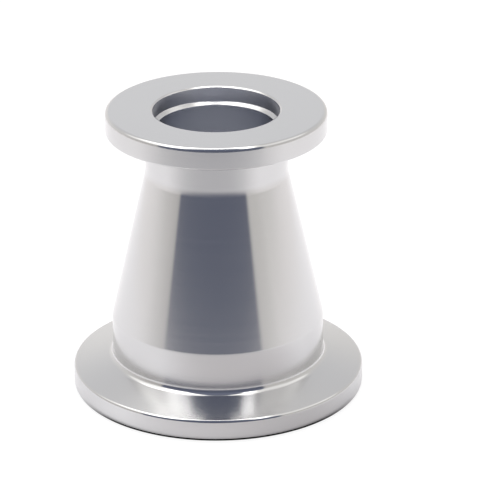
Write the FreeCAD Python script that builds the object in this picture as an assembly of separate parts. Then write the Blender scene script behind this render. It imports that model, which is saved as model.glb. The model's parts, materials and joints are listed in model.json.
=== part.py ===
"""Conical vacuum reducer, turned from one stainless steel bar.

A small clamping flange and a large one stand at the two ends of a thin-walled body: a straight
neck behind the small flange, a cone, and a straight collar behind the large flange. Each flange
has a flat sealing face, a straight rim, and a back that falls away at the clamp's angle. A bore
runs right through. At each end it opens by a small step into a shallow centring recess.

All sizes are in millimetres. The origin is the middle of the large sealing face, on which the
piece stands, and +Z runs along its axis towards the small flange.
"""

import FreeCAD
import Part

import math
import os
from collections import namedtuple

# Small end
SMALL_FLANGE_DIAMETER = 30.0
SMALL_BORE_DIAMETER = 16.0
NECK_WALL = 1.65
NECK_LENGTH = 4.2  # from the flange's root to where the cone begins

# Large end
LARGE_FLANGE_DIAMETER = 40.0
LARGE_BORE_DIAMETER = 25.0
COLLAR_WALL = 2.0
COLLAR_LENGTH = 5.7  # from the flange's root to where the cone ends

# Both ends
TOTAL_LENGTH = 40.0
RIM_HEIGHT = 3.0
FLANGE_BACK_ANGLE = 15.0  # the clamp's angle, measured from the sealing face
RECESS_DEPTH = 2.1  # the straight wall of the centring recess
RECESS_STEP = 0.6  # how much wider than the bore the recess is, on the radius
RECESS_STEP_ANGLE = 30.0  # of the face that leads from recess to bore, from the sealing face

# Edges and corners
SEALING_FACE_CHAMFER = 0.3
FLANGE_BACK_CHAMFER = 0.15
RECESS_MOUTH_CHAMFER = 0.25
FLANGE_ROOT_FILLET = 0.9
NECK_BLEND_RADIUS = 5.0
COLLAR_BLEND_RADIUS = 1.5
LONGEST_SHARE_OF_AN_EDGE = 0.45  # that a rounding may take, so that it stops short of the next

# A corner of the section: its distance from the axis, its height, and the radius that rounds it.
Corner = namedtuple("Corner", "radius height rounding", defaults=(0.0,))

# The sizes in which one end differs from the other.
End = namedtuple("End", "flange_diameter bore_diameter wall straight_length blend_radius")

SMALL_END = End(
    flange_diameter=SMALL_FLANGE_DIAMETER,
    bore_diameter=SMALL_BORE_DIAMETER,
    wall=NECK_WALL,
    straight_length=NECK_LENGTH,
    blend_radius=NECK_BLEND_RADIUS,
)
LARGE_END = End(
    flange_diameter=LARGE_FLANGE_DIAMETER,
    bore_diameter=LARGE_BORE_DIAMETER,
    wall=COLLAR_WALL,
    straight_length=COLLAR_LENGTH,
    blend_radius=COLLAR_BLEND_RADIUS,
)


def rise(run, angle):
    """How far a face at this angle from the sealing face climbs over a radial run."""
    return run * math.tan(math.radians(angle))


def end_corners(end):
    """One end's outside and inside corners, each from the sealing face to the cone.

    Their heights are depths below that end's sealing face.
    """
    flange_radius = end.flange_diameter / 2
    bore_radius = end.bore_diameter / 2
    body_radius = bore_radius + end.wall
    recess_radius = bore_radius + RECESS_STEP
    root_depth = RIM_HEIGHT + rise(flange_radius - body_radius, FLANGE_BACK_ANGLE)
    cone_depth = root_depth + end.straight_length
    bore_depth = RECESS_DEPTH + rise(RECESS_STEP, RECESS_STEP_ANGLE)
    back_chamfer_depth = RIM_HEIGHT + rise(FLANGE_BACK_CHAMFER, FLANGE_BACK_ANGLE)
    outside = [
        Corner(flange_radius - SEALING_FACE_CHAMFER, 0.0),
        Corner(flange_radius, SEALING_FACE_CHAMFER),
        Corner(flange_radius, RIM_HEIGHT - FLANGE_BACK_CHAMFER),
        Corner(flange_radius - FLANGE_BACK_CHAMFER, back_chamfer_depth),
        Corner(body_radius, root_depth, FLANGE_ROOT_FILLET),
        Corner(body_radius, cone_depth, end.blend_radius),
    ]
    inside = [
        Corner(recess_radius + RECESS_MOUTH_CHAMFER, 0.0),
        Corner(recess_radius, RECESS_MOUTH_CHAMFER),
        Corner(recess_radius, RECESS_DEPTH),
        Corner(bore_radius, bore_depth),
        Corner(bore_radius, cone_depth),
    ]
    return outside, inside


def turned_over(corners):
    """Corners given as depths below the small sealing face, as heights above the large one."""
    return [corner._replace(height=TOTAL_LENGTH - corner.height) for corner in corners]


def section_corners():
    """The whole half section, once round: down the outside and back up the bore."""
    small_outside, small_inside = end_corners(SMALL_END)
    large_outside, large_inside = end_corners(LARGE_END)
    down = turned_over(small_outside) + large_outside[::-1]
    up = large_inside + turned_over(small_inside)[::-1]
    return down + up


def point_of(corner):
    """The corner as a point of the XZ plane."""
    return FreeCAD.Vector(corner.radius, 0.0, corner.height)


def rounded(before, corner, after):
    """Where a corner's rounding starts, its middle and its end.

    A sharp corner gives its own point three times.
    """
    tip = point_of(corner)
    if corner.rounding == 0:
        return tip, tip, tip
    edge_before = point_of(before) - tip
    edge_after = point_of(after) - tip
    half_opening = edge_before.getAngle(edge_after) / 2
    longest_reach = LONGEST_SHARE_OF_AN_EDGE * min(edge_before.Length, edge_after.Length)
    reach = min(corner.rounding / math.tan(half_opening), longest_reach)
    radius = reach * math.tan(half_opening)
    to_before = edge_before.normalize()
    to_after = edge_after.normalize()
    to_centre = (to_before + to_after).normalize()
    middle_offset = radius / math.sin(half_opening) - radius
    return tip + to_before * reach, tip + to_centre * middle_offset, tip + to_after * reach


def section_wire(corners):
    """A closed wire through the corners, with a tangent arc at each one that is rounded."""
    neighbours = zip(corners[-1:] + corners[:-1], corners, corners[1:] + corners[:1])
    bends = [rounded(*three) for three in neighbours]
    edges = []
    for (start, middle, end), (next_start, _, _) in zip(bends, bends[1:] + bends[:1]):
        if start != end:
            edges.append(Part.Arc(start, middle, end).toShape())
        edges.append(Part.LineSegment(end, next_start).toShape())
    return Part.Wire(edges)


def reducer():
    """The whole piece: its half section turned once about the axis."""
    middle_of_large_face = FreeCAD.Vector(0.0, 0.0, 0.0)
    along_axis = FreeCAD.Vector(0.0, 0.0, 1.0)
    section = Part.Face(section_wire(section_corners()))
    solid = Part.Solid(section.revolve(middle_of_large_face, along_axis, 360.0))
    if solid.Volume < 0:
        solid.reverse()
    return solid


def main():
    """Builds the piece, writes it and prints what its maker would check."""
    os.makedirs("parts", exist_ok=True)
    body = reducer()
    body.exportStep("parts/reducer_body.step")
    box = body.optimalBoundingBox()
    print(f"valid: {body.isValid()}")
    print(f"volume: {body.Volume:.1f} mm3")
    print(f"size: {box.XLength:.2f} x {box.YLength:.2f} x {box.ZLength:.2f} mm")


main()
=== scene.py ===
"""A conical vacuum reducer, turned from stainless steel, on a pale table in a light tent.

The reducer is one turned piece, so it is built as on a lathe: its outline is a row of rings round
the axis, joined by faces, whose corners are then broken or rounded. Each face gets the finish that
the tool left on it, and the recess and bore also get a lighter, bluer steel colour as painted
light.
All lengths are in metres, and heights are above the large sealing face.
"""

import json
import logging
import math
from collections.abc import Callable
from dataclasses import dataclass, field
from enum import Enum

import bmesh
import bpy
from mathutils import Matrix, Vector


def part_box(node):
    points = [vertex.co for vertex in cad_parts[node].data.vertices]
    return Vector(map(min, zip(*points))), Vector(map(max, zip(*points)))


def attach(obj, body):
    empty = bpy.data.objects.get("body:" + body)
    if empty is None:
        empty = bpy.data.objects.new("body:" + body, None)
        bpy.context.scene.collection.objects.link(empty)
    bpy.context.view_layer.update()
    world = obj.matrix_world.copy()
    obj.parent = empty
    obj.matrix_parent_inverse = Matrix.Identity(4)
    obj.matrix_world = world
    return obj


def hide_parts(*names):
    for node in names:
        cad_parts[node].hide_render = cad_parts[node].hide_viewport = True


LOG = logging.getLogger("reducer")
MM = 0.001
NEARNESS = 0.01 * MM

# A span says where a change starts and where it ends.
Span = tuple[float, float]
Colour = tuple[float, float, float]
Socket = bpy.types.NodeSocket

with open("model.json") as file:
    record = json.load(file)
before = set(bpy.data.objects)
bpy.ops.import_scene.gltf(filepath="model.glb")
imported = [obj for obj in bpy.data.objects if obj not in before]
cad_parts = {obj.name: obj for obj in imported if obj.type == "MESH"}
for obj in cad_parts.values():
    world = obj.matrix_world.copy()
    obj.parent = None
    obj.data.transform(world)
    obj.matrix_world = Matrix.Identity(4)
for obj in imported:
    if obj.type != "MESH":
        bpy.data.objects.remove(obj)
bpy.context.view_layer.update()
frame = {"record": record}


def mount(name: str) -> dict:
    """Returns a mount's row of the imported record, with its place, axis and sizes."""
    return next(row for row in frame["record"]["mounts"] if row["name"] == name)


def mount_radius(name: str) -> float:
    """Returns the radius of a round mount, in metres."""
    return mount(name)["dims"]["r_mm"] * MM


# Node trees

class NodeGraph:
    """A node tree that is filled from its inputs to its output.

    Sockets that share a name with others on their node go by number.
    """

    def __init__(self, tree: bpy.types.NodeTree) -> None:
        """Takes the tree of a material or a world, and empties it."""
        self.tree = tree
        tree.nodes.clear()

    def add(self, kind: str, **settings: object) -> bpy.types.Node:
        """Adds a node.

        Args:
            kind: The node's type in Blender.
            settings: Its own properties, by name.

        Returns:
            The new node.
        """
        node = self.tree.nodes.new(kind)
        for name, value in settings.items():
            setattr(node, name, value)
        return node

    def feed(self, socket: Socket, value: object) -> None:
        """Links a socket to another node's output, or sets it.

        Args:
            socket: The input.
            value: An output socket, a number or a colour.
        """
        if isinstance(value, Socket):
            self.tree.links.new(value, socket)
        else:
            socket.default_value = value

    def math(self, operation: str, *values: object) -> Socket:
        """Works out a number from one, two or three others.

        Args:
            operation: The name of the sum in Blender.
            values: Numbers or output sockets.

        Returns:
            The result's socket.
        """
        node = self.add("ShaderNodeMath", operation=operation)
        for socket, value in zip(node.inputs, values):
            self.feed(socket, value)
        return node.outputs["Value"]

    def product(self, *factors: Socket) -> Socket:
        """Multiplies two or more numbers.

        Args:
            factors: Their output sockets.

        Returns:
            The result's socket.
        """
        result, *others = factors
        for factor in others:
            result = self.math("MULTIPLY", result, factor)
        return result

    def split(self, vector: Socket) -> list[Socket]:
        """Takes a place or a direction apart.

        Args:
            vector: Its output socket.

        Returns:
            The sockets of its x, y and z.
        """
        node = self.add("ShaderNodeSeparateXYZ")
        self.feed(node.inputs["Vector"], vector)
        return list(node.outputs)

    def from_axis(self, x: Socket, y: Socket) -> Socket:
        """Works out how far a place lies from the piece's axis, from its x and y."""
        squares = self.math("ADD", self.product(x, x), self.product(y, y))
        return self.math("SQRT", squares)

    def rise(self, value: Socket, start: float, end: float) -> Socket:
        """Goes softly from 0 to 1 while a value goes from start to end, up or down.

        Args:
            value: The number that changes.
            start: Where the result is still 0.
            end: Where the result has become 1.

        Returns:
            The result's socket.
        """
        node = self.add("ShaderNodeMapRange", interpolation_type="SMOOTHSTEP")
        if start <= end:
            sockets = (value, start, end, 0.0, 1.0)
        else:
            sockets = (value, end, start, 1.0, 0.0)
        for socket, setting in zip(node.inputs, sockets):
            self.feed(socket, setting)
        return node.outputs["Result"]

    def blend(self, share: Socket, first: object, second: object, how: str = "MIX") -> Socket:
        """Mixes two colours.

        Args:
            share: How much of the second colour there is, from 0 to 1.
            first: A colour or an output socket.
            second: A colour or an output socket.
            how: The name of the mixture in Blender.

        Returns:
            The mixed colour's socket.
        """
        node = self.add("ShaderNodeMix", data_type="RGBA", blend_type=how)
        self.feed(node.inputs[0], share)
        self.feed(node.inputs[6], first)
        self.feed(node.inputs[7], second)
        return node.outputs[2]


def grey(level: float) -> tuple[float, float, float, float]:
    """Returns a neutral colour of that brightness."""
    return (level, level, level, 1.0)


# The turned steel

@dataclass(frozen=True)
class Finish:
    """What one cut of the tool, and the polishing after it, left on the steel; the recess's and
    bore's colours hold painted light.
    """

    name: str
    colour: Colour
    roughness: float
    roughness_spread: float
    anisotropy: float
    groove_pitch: float
    groove_depth: float
    groove_detail: float = 2.0
    bands_per_groove: float = 0.2
    streak_turn: float = 0.25

    def material(self) -> bpy.types.Material:
        """Makes the finish's material.

        The grooves run round the axis, so their pattern depends only on height plus radius, which
        grows along every cut of the tool. Wider bands of rings differ slightly in roughness.

        Returns:
            The material.
        """
        material = bpy.data.materials.new(self.name)
        material.use_nodes = True
        graph = NodeGraph(material.node_tree)
        x, y, z = graph.split(graph.add("ShaderNodeTexCoord").outputs["Object"])
        along_cut = graph.math("ADD", graph.from_axis(x, y), z)

        bump = graph.add("ShaderNodeBump")
        graph.feed(bump.inputs["Strength"], 1.0)
        graph.feed(bump.inputs["Distance"], self.groove_depth)
        graph.feed(bump.inputs["Height"], self.rings(graph, along_cut, 1.0))
        bands = self.rings(graph, along_cut, self.bands_per_groove)
        roughness = graph.math("MULTIPLY_ADD", bands, self.roughness_spread,
                               self.roughness - self.roughness_spread / 2)

        tangent = graph.add("ShaderNodeTangent", direction_type="RADIAL", axis="Z")
        steel = graph.add("ShaderNodeBsdfPrincipled")
        graph.feed(steel.inputs["Base Color"], (*self.colour, 1.0))
        graph.feed(steel.inputs["Metallic"], 1.0)
        graph.feed(steel.inputs["Roughness"], roughness)
        graph.feed(steel.inputs["Anisotropic"], self.anisotropy)
        graph.feed(steel.inputs["Anisotropic Rotation"], self.streak_turn)
        graph.feed(steel.inputs["Tangent"], tangent.outputs["Tangent"])
        graph.feed(steel.inputs["Normal"], bump.outputs["Normal"])
        surface = graph.add("ShaderNodeOutputMaterial")
        graph.feed(surface.inputs["Surface"], steel.outputs["BSDF"])
        return material

    def rings(self, graph: NodeGraph, along_cut: Socket, share: float) -> Socket:
        """Makes a random pattern of rings round the axis.

        Args:
            graph: The finish's node tree.
            along_cut: How far along the cut a place lies.
            share: How many rings there are to one groove.

        Returns:
            The pattern's socket.
        """
        noise = graph.add("ShaderNodeTexNoise", noise_dimensions="1D")
        graph.feed(noise.inputs["W"], along_cut)
        graph.feed(noise.inputs["Scale"], share / self.groove_pitch)
        graph.feed(noise.inputs["Detail"], self.groove_detail)
        return noise.outputs["Fac"]


STEEL = (0.63, 0.63, 0.635)
FACE_STEEL = (0.615, 0.625, 0.645)
# Painted light: the recess and bore steel are lighter, bluer copies of the steel, which brighten
# those hollows.
RECESS_COLOUR_WITH_PAINTED_LIGHT = (0.68, 0.69, 0.735)
BORE_COLOUR_WITH_PAINTED_LIGHT = (0.735, 0.75, 0.805)


class Cut(Enum):
    """The cuts that shape the piece, each with its finish."""

    FACED = Finish("faced_steel", FACE_STEEL, roughness=0.15, roughness_spread=0.04,
                   anisotropy=0.6, groove_pitch=0.12 * MM, groove_depth=0.0008 * MM)
    POLISHED = Finish("polished_steel", STEEL, roughness=0.165, roughness_spread=0.03,
                      anisotropy=0.85, groove_pitch=0.10 * MM, groove_depth=0.0002 * MM)
    ROUNDED = Finish("rounded_steel", STEEL, roughness=0.09, roughness_spread=0.02,
                     anisotropy=0.5, groove_pitch=0.10 * MM, groove_depth=0.0001 * MM)
    RECESSED = Finish("recessed_steel", RECESS_COLOUR_WITH_PAINTED_LIGHT, roughness=0.30, roughness_spread=0.05,
                      anisotropy=0.2, groove_pitch=0.15 * MM, groove_depth=0.0030 * MM)
    STEPPED = Finish("stepped_steel", STEEL, roughness=0.20, roughness_spread=0.03,
                     anisotropy=0.5, groove_pitch=0.15 * MM, groove_depth=0.0010 * MM)
    BORED = Finish("bored_steel", BORE_COLOUR_WITH_PAINTED_LIGHT, roughness=0.28, roughness_spread=0.05,
                   anisotropy=0.2, groove_pitch=0.15 * MM, groove_depth=0.0030 * MM)


# The turned body

@dataclass(frozen=True)
class Ring:
    """A corner of the outline, as a ring round the axis."""

    radius: float
    height: float
    rounding: float
    segments: int

    def holds(self, point: Vector) -> bool:
        """Tells whether a point lies on the ring."""
        off_circle = abs(math.hypot(point.x, point.y) - self.radius)
        return off_circle < NEARNESS and abs(point.z - self.height) < NEARNESS


@dataclass
class FlangeEnd:
    """One end of the body: a clamping flange and the straight tube behind it.

    The crown is how far a ring in the tube's middle stands out before it is rounded, which makes
    the tube swell a little. Slopes are in radians.
    """

    rim_radius: float
    recess_radius: float
    bore_radius: float
    tube_radius: float
    tube_length: float
    tube_crown: float
    tube_blend: float
    face_rounding: float
    back_rounding: float
    crown_share: float = 0.66
    rim_height: float = 3.0 * MM
    back_slope: float = math.radians(15.0)
    recess_depth: float = 2.1 * MM
    step_slope: float = math.radians(30.0)
    mouth_width: float = 0.25 * MM
    mouth_height: float = 0.15 * MM
    mouth_rounding: float = 0.06 * MM
    root_fillet: float = 0.9 * MM
    recess_fillet: float = 0.15 * MM
    bore_rounding: float = 0.10 * MM
    bore_blend: float = 3.0 * MM

    @property
    def root_height(self) -> float:
        """How far from the sealing face the flange's back meets the tube."""
        return self.rim_height + (self.rim_radius - self.tube_radius) * math.tan(self.back_slope)

    @property
    def tube_end(self) -> float:
        """How far from the sealing face the tube meets the cone."""
        return self.root_height + self.tube_length

    @property
    def bore_depth(self) -> float:
        """How far from the sealing face the bore starts, below the recess and its sloping step."""
        step_depth = (self.recess_radius - self.bore_radius) * math.tan(self.step_slope)
        return self.recess_depth + step_depth

    def outside(self) -> list[Ring]:
        """Lists the rings from the sealing face's edge to the cone.

        Returns:
            The rings, in order, with their distances from that face as heights.
        """
        root = Ring(self.tube_radius, self.root_height, self.root_fillet, segments=8)
        end = Ring(self.tube_radius, self.tube_end, self.tube_blend, segments=6)
        return [
            Ring(self.rim_radius, 0.0, self.face_rounding, segments=8),
            Ring(self.rim_radius, self.rim_height, self.back_rounding, segments=6),
            root,
            *self.crown_between(root, end),
            end,
        ]

    def crown_between(self, root: Ring, end: Ring) -> list[Ring]:
        """Works out the ring that swells the tube in its middle, if the tube swells at all.

        Its rounding is so long that it takes up crown_share of the tube, and a third of the crown.

        Args:
            root: The ring where the tube starts.
            end: The ring where it ends.

        Returns:
            The ring, in a list, or an empty list.
        """
        if self.tube_crown == 0.0:
            return []
        half_length = (end.height - root.height) / 2
        half_turn = math.atan(self.tube_crown / half_length)
        sweep = self.crown_share * half_length / math.tan(half_turn)
        middle = root.height + half_length
        return [Ring(self.tube_radius + self.tube_crown, middle, sweep, segments=12)]

    def inside(self) -> list[Ring]:
        """Lists the rings from the recess's mouth to the inner cone.

        Returns:
            The rings, in order, with their distances from the sealing face as heights.
        """
        mouth = self.recess_radius + self.mouth_width
        return [
            Ring(mouth, 0.0, self.mouth_rounding, segments=2),
            Ring(self.recess_radius, self.mouth_height, self.mouth_rounding, segments=2),
            Ring(self.recess_radius, self.recess_depth, self.recess_fillet, segments=4),
            Ring(self.bore_radius, self.bore_depth, self.bore_rounding, segments=3),
            Ring(self.bore_radius, self.tube_end, self.bore_blend, segments=4),
        ]


def turned_over(rings: list[Ring], top: float) -> list[Ring]:
    """Returns rings that were measured down from the height top, with their true heights."""
    return [Ring(ring.radius, top - ring.height, ring.rounding, ring.segments) for ring in rings]


@dataclass
class TurnedBody:
    """The whole reducer, which is one turned piece.

    Its faces are told apart by their normals' upright share: a flat face has at least flat_normal,
    the back of a flange at least back_normal, and a side, the cone's too, at most side_normal.
    """

    length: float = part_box("reducer_body")[1][2]
    large_end: FlangeEnd = field(default_factory=lambda: FlangeEnd(
        rim_radius=mount_radius("large_rim"),
        recess_radius=mount_radius("large_recess"),
        bore_radius=mount_radius("large_bore"),
        tube_radius=14.5 * MM,
        tube_length=5.7 * MM,
        tube_crown=0.10 * MM,
        tube_blend=1.5 * MM,
        face_rounding=0.40 * MM,
        back_rounding=0.43 * MM,
    ))
    small_end: FlangeEnd = field(default_factory=lambda: FlangeEnd(
        rim_radius=mount_radius("small_rim"),
        recess_radius=mount_radius("small_recess"),
        bore_radius=mount_radius("small_bore"),
        tube_radius=9.65 * MM,
        tube_length=4.2 * MM,
        tube_crown=0.0,
        tube_blend=5.0 * MM,
        face_rounding=0.55 * MM,
        back_rounding=0.28 * MM,
    ))
    sides: int = 256
    round_profile: float = 0.5
    smooth_up_to: float = math.radians(30.0)
    face_reach: float = 1.0 * MM
    flat_normal: float = 0.995
    back_normal: float = 0.955
    side_normal: float = 0.30

    def outline(self) -> list[Ring]:
        """Lists the rings in order: up the outside, over the small face and down the bore.

        Returns:
            The rings, with their true heights.
        """
        small_outside = turned_over(self.small_end.outside(), self.length)
        small_inside = turned_over(self.small_end.inside(), self.length)
        up = self.large_end.outside() + small_outside[::-1]
        down = small_inside + self.large_end.inside()[::-1]
        return up + down

    def build(self) -> bpy.types.Object:
        """Models the piece and dresses it.

        Returns:
            The finished piece.
        """
        rings = self.outline()
        body = self.first_ring(rings[0])
        for below, ring in zip(rings, rings[1:]):
            self.extrude_ring(below, ring)
        self.close_outline(body, rings)
        self.round_corners(body, rings)
        self.give_finishes(body)
        self.smooth(body)
        return body

    def first_ring(self, ring: Ring) -> bpy.types.Object:
        """Adds the circle that the outline starts from, and opens it for editing.

        Args:
            ring: The outline's first ring.

        Returns:
            The piece, which is only that circle so far.
        """
        bpy.ops.object.select_all(action="DESELECT")
        bpy.ops.mesh.primitive_circle_add(
            vertices=self.sides, radius=ring.radius, location=(0.0, 0.0, ring.height))
        body = bpy.context.active_object
        body.name = "turned_body"
        body.data.name = "turned_body"
        bpy.ops.object.mode_set(mode="EDIT")
        bpy.ops.mesh.select_mode(type="EDGE")
        bpy.ops.mesh.select_all(action="SELECT")
        return body

    def extrude_ring(self, below: Ring, ring: Ring) -> None:
        """Draws the selected ring out to the next one and leaves that one selected.

        Args:
            below: The ring that is selected.
            ring: The next ring of the outline.
        """
        climb = (0.0, 0.0, ring.height - below.height)
        bpy.ops.mesh.extrude_region_move(TRANSFORM_OT_translate={"value": climb})
        scale = ring.radius / below.radius
        bpy.ops.transform.resize(value=(scale, scale, 1.0), center_override=(0.0, 0.0, ring.height))

    def close_outline(self, body: bpy.types.Object, rings: list[Ring]) -> None:
        """Makes the large sealing face, between the last ring and the first.

        Args:
            body: The piece, open for editing.
            rings: The outline.
        """
        ends = (rings[0], rings[-1])
        select_where(body, "edges", lambda edge: any(on_ring(edge, ring) for ring in ends))
        bpy.ops.mesh.bridge_edge_loops()
        bpy.ops.mesh.select_all(action="SELECT")
        bpy.ops.mesh.normals_make_consistent(inside=False)

    def round_corners(self, body: bpy.types.Object, rings: list[Ring]) -> None:
        """Rounds every corner of the outline with its own radius.

        Args:
            body: The piece, open for editing.
            rings: The outline.
        """
        corners = zip(rings[-1:] + rings[:-1], rings, rings[1:] + rings[:1])
        for before, ring, after in corners:
            turn = turn_between(before, ring, after)
            select_where(body, "edges", lambda edge: on_ring(edge, ring))
            bpy.ops.mesh.bevel(
                offset=ring.rounding * math.tan(turn / 2), segments=ring.segments,
                profile=self.round_profile, affect="EDGES", clamp_overlap=False)

    def give_finishes(self, body: bpy.types.Object) -> None:
        """Gives each face the finish of the cut that made it, and closes the editing.

        Args:
            body: The piece, open for editing.
        """
        bpy.ops.mesh.select_mode(type="FACE")
        for number, cut in enumerate(Cut):
            body.data.materials.append(cut.value.material())
            select_where(body, "faces", lambda face: self.cut_of(face) is cut)
            body.active_material_index = number
            bpy.ops.object.material_slot_assign()
        bpy.ops.object.mode_set(mode="OBJECT")

    def cut_of(self, face: bmesh.types.BMFace) -> Cut:
        """Tells by its place and normal which cut made a face.

        Args:
            face: A face of the piece.

        Returns:
            The cut.
        """
        centre = face.calc_center_median()
        upright = abs(face.normal.z)
        outwards = face.normal.x * centre.x + face.normal.y * centre.y
        from_face = min(centre.z, self.length - centre.z)
        at_face = from_face < self.face_reach
        if at_face and upright > self.flat_normal:
            return Cut.FACED
        if outwards >= 0.0:
            most_upright = 1.0 if at_face else self.back_normal
            rounded = self.side_normal < upright < most_upright
            return Cut.ROUNDED if rounded else Cut.POLISHED
        end = self.large_end if centre.z < self.length / 2 else self.small_end
        if from_face > end.bore_depth:
            return Cut.BORED
        sloping = from_face > end.recess_depth or from_face < end.mouth_height
        return Cut.STEPPED if sloping else Cut.RECESSED

    def smooth(self, body: bpy.types.Object) -> None:
        """Shades the round faces smoothly, with the large faces' normals left as they are.

        Args:
            body: The piece, selected and no longer edited.
        """
        bpy.ops.object.shade_smooth_by_angle(angle=self.smooth_up_to)
        weighted = body.modifiers.new("large_faces_rule", "WEIGHTED_NORMAL")
        weighted.keep_sharp = True
        bpy.ops.object.modifier_apply(modifier=weighted.name)


def on_ring(edge: bmesh.types.BMEdge, ring: Ring) -> bool:
    """Tells whether both ends of an edge lie on a ring."""
    return all(ring.holds(vertex.co) for vertex in edge.verts)


def turn_between(before: Ring, ring: Ring, after: Ring) -> float:
    """Works out how sharply the outline turns at a ring.

    Args:
        before: The ring before it.
        ring: The ring where the outline turns.
        after: The ring after it.

    Returns:
        The turn, in radians.
    """
    coming = Vector((ring.radius - before.radius, ring.height - before.height))
    going = Vector((after.radius - ring.radius, after.height - ring.height))
    return coming.angle(going)


def select_where(body: bpy.types.Object, kind: str, wanted: Callable[[object], bool]) -> None:
    """Selects the edges or faces that pass a test, and nothing else.

    Args:
        body: The mesh object that is being edited.
        kind: What is tested, edges or faces.
        wanted: The test.
    """
    bpy.ops.mesh.select_all(action="DESELECT")
    mesh = bmesh.from_edit_mesh(body.data)
    for element in getattr(mesh, kind):
        if wanted(element):
            element.select_set(True)
    bmesh.update_edit_mesh(body.data)


# The studio

@dataclass(frozen=True)
class Patch:
    """A round patch on the tent's wall, lit by a soft lamp or shaded. Its angles are in degrees."""

    azimuth: float
    elevation: float
    core: float
    reach: float
    brightness: float
    tint: Colour = (1.0, 0.985, 0.96)

    def axis(self) -> Vector:
        """Works out where the patch is.

        Returns:
            The direction from the piece to the patch's middle.
        """
        azimuth = math.radians(self.azimuth)
        elevation = math.radians(self.elevation)
        level = math.cos(elevation)
        return Vector((level * math.sin(azimuth), -level * math.cos(azimuth), math.sin(elevation)))


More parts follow.
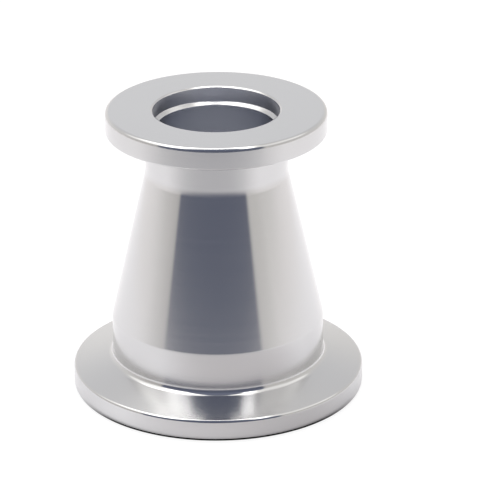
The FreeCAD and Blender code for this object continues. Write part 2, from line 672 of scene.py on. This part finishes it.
@dataclass(frozen=True)
class LightTent:
    """A white tent round the table, with a dark opening at the front and soft lamps outside it.

    Places on the front wall are across and up, as shares of their depth in front of the piece. The
    opening's sides lean outwards, and a dark slit runs on from its top, over the piece. The room
    behind both is a little lighter higher up.
    """

    front_at_left: Colour = (0.64, 0.62, 0.595)
    front_at_right: Colour = (0.73, 0.71, 0.68)
    back_at_left: Colour = (1.09, 1.07, 1.055)
    back_at_right: Colour = (0.92, 0.90, 0.88)
    high_back_left: Colour = (0.87, 0.87, 0.89)
    high_back_right: Colour = (0.80, 0.80, 0.82)
    left_to_right: Span = (-0.4, 0.4)
    front_to_back: Span = (-0.60, 1.40)
    back_depths: Span = (0.35, 0.75)
    back_heights: Span = (0.15, 0.60)
    room: Colour = (0.140, 0.154, 0.210)
    room_above: Colour = (0.202, 0.222, 0.298)
    room_heights: Span = (0.5, 1.3)
    opening_left: Span = (-1.67, -1.49)
    opening_left_lean: float = 0.47
    opening_right: Span = (1.13, 0.95)
    opening_right_lean: float = 0.26
    opening_top: Span = (1.95, 1.60)
    slit_left: Span = (-1.08, -0.78)
    slit_right: Span = (0.86, 0.60)
    slit_end: Span = (9.0, 1.8)
    slit_foot: Span = (0.2, 0.6)
    patches: tuple[Patch, ...] = (
        Patch(azimuth=-108.0, elevation=46.0, core=9.0, reach=19.0, brightness=1.35),
        Patch(azimuth=108.0, elevation=46.0, core=9.0, reach=19.0, brightness=1.30),
        Patch(azimuth=-80.0, elevation=54.0, core=8.0, reach=24.0, brightness=1.5),
        Patch(azimuth=-125.0, elevation=67.0, core=9.0, reach=23.0, brightness=2.4),
        Patch(azimuth=-54.0, elevation=60.0, core=9.0, reach=20.0, brightness=2.8),
        Patch(azimuth=78.0, elevation=54.0, core=8.0, reach=24.0, brightness=1.15),
        Patch(azimuth=46.0, elevation=59.0, core=3.0, reach=8.0, brightness=4.3),
        Patch(azimuth=85.0, elevation=77.0, core=5.0, reach=12.0, brightness=1.7),
        Patch(azimuth=180.0, elevation=79.0, core=7.0, reach=19.0, brightness=4.4),
        Patch(azimuth=0.0, elevation=82.0, core=7.0, reach=10.0, brightness=0.20,
              tint=(1.0, 1.08, 1.38)),
    )
    nearly_level: float = 0.02

    def build(self) -> bpy.types.World:
        """Makes the world that lights the piece and shows white to the camera.

        Returns:
            The world.
        """
        world = bpy.data.worlds.new("light_tent")
        world.use_nodes = True
        graph = NodeGraph(world.node_tree)
        direction = graph.add("ShaderNodeTexCoord").outputs["Generated"]
        tent = self.walls(graph, direction)
        for patch in self.patches:
            tent = self.with_patch(graph, tent, direction, patch)
        tent = self.with_opening(graph, tent, direction)
        seen = graph.add("ShaderNodeLightPath").outputs["Is Camera Ray"]
        light = graph.add("ShaderNodeBackground")
        graph.feed(light.inputs["Color"], graph.blend(seen, tent, grey(1.0)))
        out = graph.add("ShaderNodeOutputWorld")
        graph.feed(out.inputs["Surface"], light.outputs["Background"])
        bpy.context.scene.world = world
        return world

    def walls(self, graph: NodeGraph, direction: Socket) -> Socket:
        """Colours the white walls, which brighten from front to back and are dimmer high there.

        Args:
            graph: The world's node tree.
            direction: The direction that light comes from.

        Returns:
            The walls' colour.
        """
        x, y, z = graph.split(direction)
        to_right = graph.rise(x, *self.left_to_right)
        front = graph.blend(to_right, (*self.front_at_left, 1.0), (*self.front_at_right, 1.0))
        low = graph.blend(to_right, (*self.back_at_left, 1.0), (*self.back_at_right, 1.0))
        high = graph.blend(to_right, (*self.high_back_left, 1.0), (*self.high_back_right, 1.0))
        high_share = graph.product(graph.rise(y, *self.back_depths),
                                   graph.rise(z, *self.back_heights))
        back = graph.blend(high_share, low, high)
        return graph.blend(graph.rise(y, *self.front_to_back), front, back)

    def with_patch(self, graph: NodeGraph, tent: Socket, direction: Socket,
                   patch: Patch) -> Socket:
        """Adds a round patch to the walls.

        Args:
            graph: The world's node tree.
            tent: The tent's colour without the patch.
            direction: The direction that light comes from.
            patch: The patch.

        Returns:
            The tent's colour with it.
        """
        nearness = graph.add("ShaderNodeVectorMath", operation="DOT_PRODUCT")
        graph.feed(nearness.inputs[0], direction)
        graph.feed(nearness.inputs[1], patch.axis())
        edge = math.cos(math.radians(patch.reach))
        core = math.cos(math.radians(patch.core))
        share = graph.rise(nearness.outputs["Value"], edge, core)
        colour = [patch.brightness * part for part in patch.tint]
        return graph.blend(share, tent, (*colour, 1.0))

    def with_opening(self, graph: NodeGraph, tent: Socket, direction: Socket) -> Socket:
        """Adds the opening at the front and the slit above it, with the dim room behind them.

        Args:
            graph: The world's node tree.
            tent: The tent's colour without the opening.
            direction: The direction that light comes from.

        Returns:
            The tent's colour with it.
        """
        x, y, z = graph.split(direction)
        forward = graph.math("MULTIPLY", y, -1.0)
        ahead = graph.math("MAXIMUM", forward, self.nearly_level)
        across = graph.math("DIVIDE", x, ahead)
        up = graph.math("DIVIDE", z, ahead)
        climb = graph.math("MAXIMUM", up, 0.0)
        from_left = graph.math("MULTIPLY_ADD", climb, self.opening_left_lean, across)
        from_right = graph.math("MULTIPLY_ADD", climb, -self.opening_right_lean, across)
        opening = graph.product(graph.rise(from_left, *self.opening_left),
                                graph.rise(from_right, *self.opening_right),
                                graph.rise(up, *self.opening_top))
        slit = graph.product(graph.rise(across, *self.slit_left),
                             graph.rise(across, *self.slit_right),
                             graph.rise(up, *self.slit_end),
                             graph.rise(up, *self.slit_foot))
        both = graph.math("MAXIMUM", opening, slit)
        in_front = graph.product(both, graph.rise(forward, 0.0, self.nearly_level))
        room = graph.blend(graph.rise(up, *self.room_heights),
                           (*self.room, 1.0), (*self.room_above, 1.0))
        return graph.blend(in_front, tent, room)


@dataclass(frozen=True)
class Table:
    """The pale sheet that the piece stands on, with painted shade on the side of the tent's
    opening.

    The camera sees it white, apart from the piece's shadow. The rest is what the steel mirrors:
    painted shade on the dark side, a darker, warmer painted shade far out, a black painted shadow
    where the piece's foot stands in front, painted light next to that line in the middle and on the
    left, a faint painted glow all over, and painted light under the bore. Distances are from the
    piece's axis, and turns go to the right from straight ahead of it.
    """

    width: float = 800.0 * MM
    front_edge: float = -150.0 * MM
    white: Colour = (0.857, 0.848, 0.863)
    # Painted shade: the greys that darken the sheet ahead of the piece, near and far.
    near_painted_shade: Colour = (0.555, 0.531, 0.541)
    far_painted_shade: Colour = (0.465, 0.460, 0.474)
    near_to_far: Span = (34.0 * MM, 70.0 * MM)
    near_white_until: float = 0.33
    far_white_until: float = 0.15
    near_turn: float = math.radians(15.0)
    far_turn: float = math.radians(-8.0)
    # Painted shade far out: the sheet is darker and warmer there, for the steel to mirror.
    far_out_painted_shade: Colour = (0.915, 0.895, 0.870)
    outer_from: Span = (106.0 * MM, 140.0 * MM)
    # Painted light: the sheet glows a little all over, for the steel to mirror.
    painted_sheet_glow: float = 0.20
    # Painted light: extra glow on the sheet next to the foot's painted shadow, in the middle and on
    # the left.
    painted_foot_glow: float = 0.15
    # Painted shadow: the sheet turns black just round the piece's foot, where it lies in front.
    foot_shadow_edge: Span = (21.2 * MM, 20.4 * MM)
    foot_front: Span = (0.25, 0.78)
    foot_outer: Span = (28.0 * MM, 23.0 * MM)
    foot_side: Span = (0.65, -0.20)
    inner_radius: float = mount_radius("large_recess")
    # Painted light: the sheet under the bore glows, which brightens the bore.
    painted_bore_glow: float = 0.38
    own_light: float = 0.86
    shadow_share: float = 0.20

    def build(self) -> bpy.types.Object:
        """Makes the sheet.

        Returns:
            The sheet.
        """
        bpy.ops.object.select_all(action="DESELECT")
        middle = (0.0, self.front_edge + self.width / 2, 0.0)
        bpy.ops.mesh.primitive_plane_add(size=self.width, location=middle)
        bpy.ops.object.transform_apply(location=True, rotation=False, scale=False)
        sheet = bpy.context.active_object
        sheet.name = "table_sheet"
        sheet.data.materials.append(self.material())
        return sheet

    def material(self) -> bpy.types.Material:
        """Makes the sheet's material, one paper for the camera and one for all other rays.

        Returns:
            The material.
        """
        material = bpy.data.materials.new("table_sheet")
        material.use_nodes = True
        graph = NodeGraph(material.node_tree)
        x, y, _ = graph.split(graph.add("ShaderNodeTexCoord").outputs["Object"])
        distance = graph.from_axis(x, y)
        right = graph.math("DIVIDE", x, distance)
        ahead = graph.math("DIVIDE", graph.math("MULTIPLY", y, -1.0), distance)

        # Painted shadow: black round the foot in front and under the bore, where no glow is given.
        in_front = graph.rise(ahead, *self.foot_front)
        inside = graph.math("LESS_THAN", distance, self.inner_radius)
        painted_foot_shadow = graph.product(graph.rise(distance, *self.foot_shadow_edge),
                                graph.math("MAXIMUM", in_front, inside))
        outside_painted_shadow = graph.math("SUBTRACT", 1.0, painted_foot_shadow)
        colour = graph.blend(outside_painted_shadow, grey(0.0), self.colour(graph, distance, right, ahead))
        # Painted light by the foot, in front, in the middle and on the left.
        foot_glow_area = graph.product(graph.rise(distance, *self.foot_outer),
                                graph.rise(right, *self.foot_side), in_front)
        # Painted glow of the sheet, stronger by the foot and kept out of the painted shadow.
        light = graph.math("MULTIPLY_ADD", foot_glow_area, self.painted_foot_glow, self.painted_sheet_glow)
        light = graph.product(outside_painted_shadow, light)
        # Painted light under the bore.
        light = graph.math("MULTIPLY_ADD", inside, self.painted_bore_glow, light)

        choice = graph.add("ShaderNodeMixShader")
        graph.feed(choice.inputs[0], graph.add("ShaderNodeLightPath").outputs["Is Camera Ray"])
        graph.feed(choice.inputs[1], self.paper(graph, colour, light))
        graph.feed(choice.inputs[2], self.paper(graph, grey(self.shadow_share), self.own_light))
        surface = graph.add("ShaderNodeOutputMaterial")
        graph.feed(surface.inputs["Surface"], choice.outputs["Shader"])
        return material

    def colour(self, graph: NodeGraph, distance: Socket, right: Socket, ahead: Socket) -> Socket:
        """Paints shade on the sheet in front of the piece, and a darker, warmer painted shade far
        out.

        Args:
            graph: The sheet's node tree.
            distance: How far from the axis a place lies.
            right: How far to the right it lies, as a share of its distance.
            ahead: How far ahead it lies, as a share of its distance.

        Returns:
            The colour's socket.
        """
        # Painted shade ahead of the piece, turned a little differently near and far.
        near = self.shaded(graph, self.facing(graph, right, ahead, self.near_turn),
                           self.near_white_until, self.near_painted_shade)
        far = self.shaded(graph, self.facing(graph, right, ahead, self.far_turn),
                          self.far_white_until, self.far_painted_shade)
        sheet = graph.blend(graph.rise(distance, *self.near_to_far), near, far)
        # Painted shade far out, darker and warmer.
        outer = graph.rise(distance, *self.outer_from)
        return graph.blend(outer, sheet, (*self.far_out_painted_shade, 1.0), "MULTIPLY")

    def facing(self, graph: NodeGraph, right: Socket, ahead: Socket, turn: float) -> Socket:
        """Tells how nearly a place lies in the direction that turn gives, where 1 is exactly."""
        towards = graph.math("MULTIPLY", ahead, math.cos(turn))
        return graph.math("MULTIPLY_ADD", right, math.sin(turn), towards)

    def shaded(self, graph: NodeGraph, nearness: Socket, white_until: float,
               darkest: Colour) -> Socket:
        """Paints shade on the sheet: white up to that nearness to a direction, darkest right in it.
        """
        share = graph.rise(nearness, white_until, 1.0)
        return graph.blend(share, (*self.white, 1.0), (*darkest, 1.0))

    def paper(self, graph: NodeGraph, colour: object, glow: object) -> Socket:
        """Adds a dull surface that also gives off some light.

        Args:
            graph: The sheet's node tree.
            colour: Its colour, or an output socket.
            glow: Its own light, where 1 is white, or an output socket.

        Returns:
            The surface's socket.
        """
        dull = graph.add("ShaderNodeBsdfDiffuse")
        graph.feed(dull.inputs["Color"], colour)
        lit = graph.add("ShaderNodeEmission")
        graph.feed(lit.inputs["Strength"], glow)
        both = graph.add("ShaderNodeAddShader")
        graph.feed(both.inputs[0], dull.outputs["BSDF"])
        graph.feed(both.inputs[1], lit.outputs["Emission"])
        return both.outputs["Shader"]


@dataclass(frozen=True)
class Viewpoint:
    """Where the camera stands and how it is turned, as fitted to the two flanges' rims.

    Its angles are in radians, and its lens and sensor are in millimetres.
    """

    distance: float = 402.66 * MM
    height: float = 190.96 * MM
    pitch: float = 0.40298
    yaw: float = 0.01111
    roll: float = -0.00418
    lens: float = 229.9
    sensor: float = 36.0

    def build(self) -> bpy.types.Object:
        """Makes the camera and chooses it.

        Returns:
            The camera.
        """
        lens = bpy.data.cameras.new("camera")
        lens.lens = self.lens
        lens.sensor_width = self.sensor
        camera = bpy.data.objects.new("camera", lens)
        bpy.context.scene.collection.objects.link(camera)
        turn = (
            Matrix.Rotation(-self.yaw, 4, "Z")
            @ Matrix.Rotation(math.pi / 2 - self.pitch, 4, "X")
            @ Matrix.Rotation(self.roll, 4, "Z")
        )
        camera.matrix_world = Matrix.Translation((0.0, -self.distance, self.height)) @ turn
        bpy.context.scene.camera = camera
        return camera


def main() -> None:
    """Builds the reducer and the studio round it."""
    logging.basicConfig(level=logging.INFO)
    body = TurnedBody().build()
    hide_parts("reducer_body")
    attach(body, "root")
    LOG.info("%s: %d faces", body.name, len(body.data.polygons))
    for part in (Table(), LightTent(), Viewpoint()):
        LOG.info("%s", part.build().name)
    bpy.context.scene.view_settings.view_transform = "Standard"


if __name__ == "__main__":
    main()
